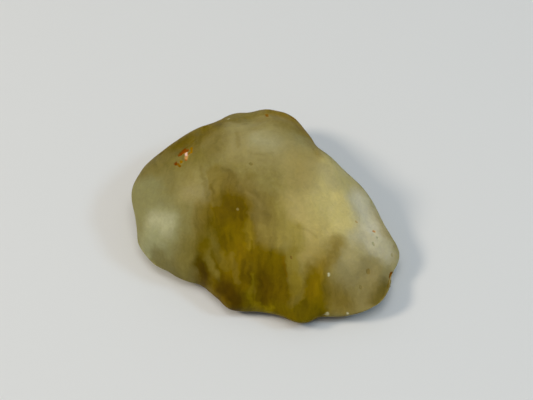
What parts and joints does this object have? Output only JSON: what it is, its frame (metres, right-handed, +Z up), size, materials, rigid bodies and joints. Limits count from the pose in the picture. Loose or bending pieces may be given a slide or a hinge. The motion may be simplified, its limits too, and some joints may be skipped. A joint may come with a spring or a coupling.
{
  "type": "raw libyan desert glass specimen",
  "caption": "Wind-worn natural lump of translucent yellow-olive silica glass with a frosted skin, small clay-filled pits and a flat foot that it rests on.",
  "frame": {"origin": "on the floor below the middle of the bounding box, which is the plane of the flat foot", "axes": "+X along the longest extent, towards the low pointed tip; +Y towards the high back shoulder; +Z up from the foot"},
  "size_m": [0.0404, 0.0366, 0.0136],
  "materials": {
    "desert_glass": "natural silica glass, sand-blasted to a satin, cloudy yellow-olive inside"
  },
  "bodies": {
    "root": {"glass_lump": "desert_glass"}
  },
  "joints": []
}
